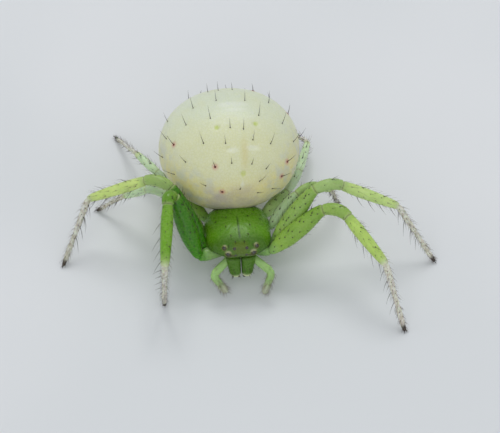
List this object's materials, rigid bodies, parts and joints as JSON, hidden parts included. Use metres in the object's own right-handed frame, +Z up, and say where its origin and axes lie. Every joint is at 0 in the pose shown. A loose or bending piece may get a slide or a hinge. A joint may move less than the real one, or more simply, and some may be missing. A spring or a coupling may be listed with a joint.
{
  "type": "crab spider model",
  "caption": "Still, life-size model of a green crab spider with a large pale round abdomen, standing on its tarsi, front legs spread.",
  "frame": {"origin": "on the floor, under the middle of the bounding box", "axes": "+Z up, -Y the way the head faces, +X the animal's left side and the widest extent"},
  "size_m": [0.0128, 0.0096, 0.0044],
  "materials": {
    "body_green": "satin, green",
    "leg_green": "satin, yellow-green",
    "leg_pale": "satin, pale tan",
    "abdomen_cream": "satin, greenish cream",
    "eye_dark": "polished, near black"
  },
  "bodies": {
    "root": {"abdomen": "abdomen_cream", "cephalothorax": "body_green", "chelicera_left": "body_green", "chelicera_right": "body_green", "eye_front_lateral_left": "eye_dark", "eye_front_lateral_right": "eye_dark", "eye_front_median_left": "eye_dark", "eye_front_median_right": "eye_dark", "eye_rear_lateral_left": "eye_dark", "eye_rear_lateral_right": "eye_dark", "eye_rear_median_left": "eye_dark", "eye_rear_median_right": "eye_dark", "leg_left_1_femur": "leg_green", "leg_left_1_metatarsus": "leg_pale", "leg_left_1_patella": "leg_green", "leg_left_1_tarsus": "leg_pale", "leg_left_1_tibia": "leg_green", "leg_left_2_femur": "leg_green", "leg_left_2_metatarsus": "leg_pale", "leg_left_2_patella": "leg_green", "leg_left_2_tarsus": "leg_pale", "leg_left_2_tibia": "leg_green", "leg_left_3_femur": "leg_green", "leg_left_3_metatarsus": "leg_pale", "leg_left_3_patella": "leg_green", "leg_left_3_tarsus": "leg_pale", "leg_left_3_tibia": "leg_green", "leg_left_4_femur": "leg_green", "leg_left_4_metatarsus": "leg_pale", "leg_left_4_patella": "leg_green", "leg_left_4_tarsus": "leg_pale", "leg_left_4_tibia": "leg_green", "leg_right_1_femur": "leg_green", "leg_right_1_metatarsus": "leg_pale", "leg_right_1_patella": "leg_green", "leg_right_1_tarsus": "leg_pale", "leg_right_1_tibia": "leg_green", "leg_right_2_femur": "leg_green", "leg_right_2_metatarsus": "leg_pale", "leg_right_2_patella": "leg_green", "leg_right_2_tarsus": "leg_pale", "leg_right_2_tibia": "leg_green", "leg_right_3_femur": "leg_green", "leg_right_3_metatarsus": "leg_pale", "leg_right_3_patella": "leg_green", "leg_right_3_tarsus": "leg_pale", "leg_right_3_tibia": "leg_green", "leg_right_4_femur": "leg_green", "leg_right_4_metatarsus": "leg_pale", "leg_right_4_patella": "leg_green", "leg_right_4_tarsus": "leg_pale", "leg_right_4_tibia": "leg_green", "palp_left": "body_green", "palp_left_tarsus": "leg_pale", "palp_right": "body_green", "palp_right_tarsus": "leg_pale", "pedicel": "body_green", "spinnerets": "leg_pale"}
  },
  "joints": []
}
